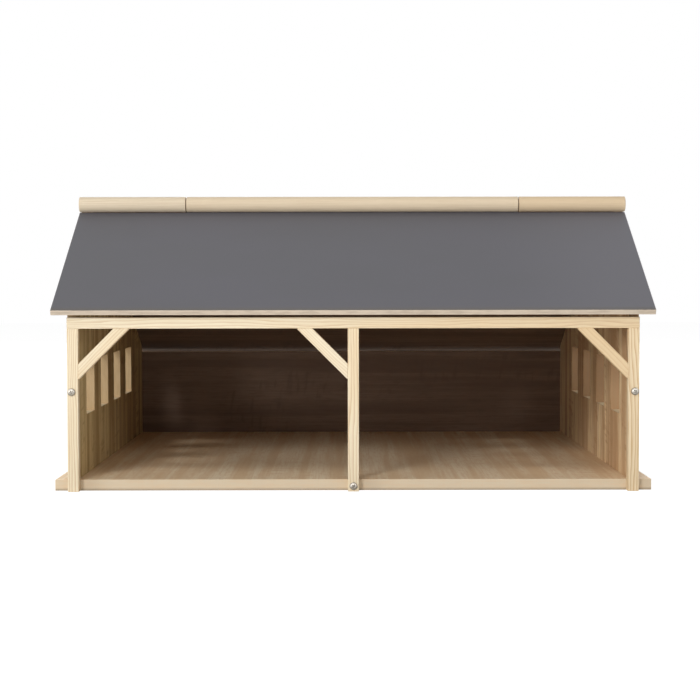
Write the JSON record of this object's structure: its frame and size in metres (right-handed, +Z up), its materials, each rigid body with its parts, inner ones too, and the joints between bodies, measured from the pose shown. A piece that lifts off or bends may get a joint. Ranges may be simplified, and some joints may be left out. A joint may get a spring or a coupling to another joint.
{
  "type": "toy farm shed",
  "caption": "Open-fronted wooden toy machine shed with windowed gable walls, a braced strip frame, and a grey roof of unequal slopes whose front board lifts on a wooden ridge hinge.",
  "frame": {"origin": "on the ground under the middle of the base board, which is also the middle of the whole box", "axes": "+X along the ridge to the right seen from the open front, +Y from the open front to the back, +Z up"},
  "size_m": [0.54, 0.5398, 0.2729],
  "materials": {
    "base_ply": "bare plywood, fine open grain",
    "wall_ply": "bare plywood, upright grain",
    "frame_pine": "planed bare pine strip",
    "roof_board": "outer face painted matt grey, edges and underside bare",
    "ridge_wood": "turned bare hardwood rod",
    "zinc_steel": "bright zinc plate"
  },
  "bodies": {
    "shed": {"base_board": "base_ply", "left_wall": "wall_ply", "right_wall": "wall_ply", "back_wall": "wall_ply", "left_post": "frame_pine", "centre_post": "frame_pine", "right_post": "frame_pine", "top_beam": "frame_pine", "left_brace": "frame_pine", "centre_brace": "frame_pine", "right_brace": "frame_pine", "rear_roof_panel": "roof_board", "ridge_bar_left": "ridge_wood", "ridge_bar_right": "ridge_wood", "hinge_pin_left": "zinc_steel", "hinge_pin_right": "zinc_steel", "left_post_screw": "zinc_steel", "centre_post_screw": "zinc_steel", "right_post_screw": "zinc_steel", "base_screws": "zinc_steel", "back_wall_screws": "zinc_steel", "rear_roof_screws": "zinc_steel", "beam_pins": "zinc_steel"},
    "front_roof": {"front_roof_panel": "roof_board", "ridge_bar_middle": "ridge_wood"}
  },
  "joints": [
    {"name": "front_roof_hinge", "type": "hinge", "parent": "shed", "child": "front_roof", "pos_m": [0, -0.0965, 0.2654], "axis": [-1, 0, 0], "range_deg": [0, 234]}
  ]
}
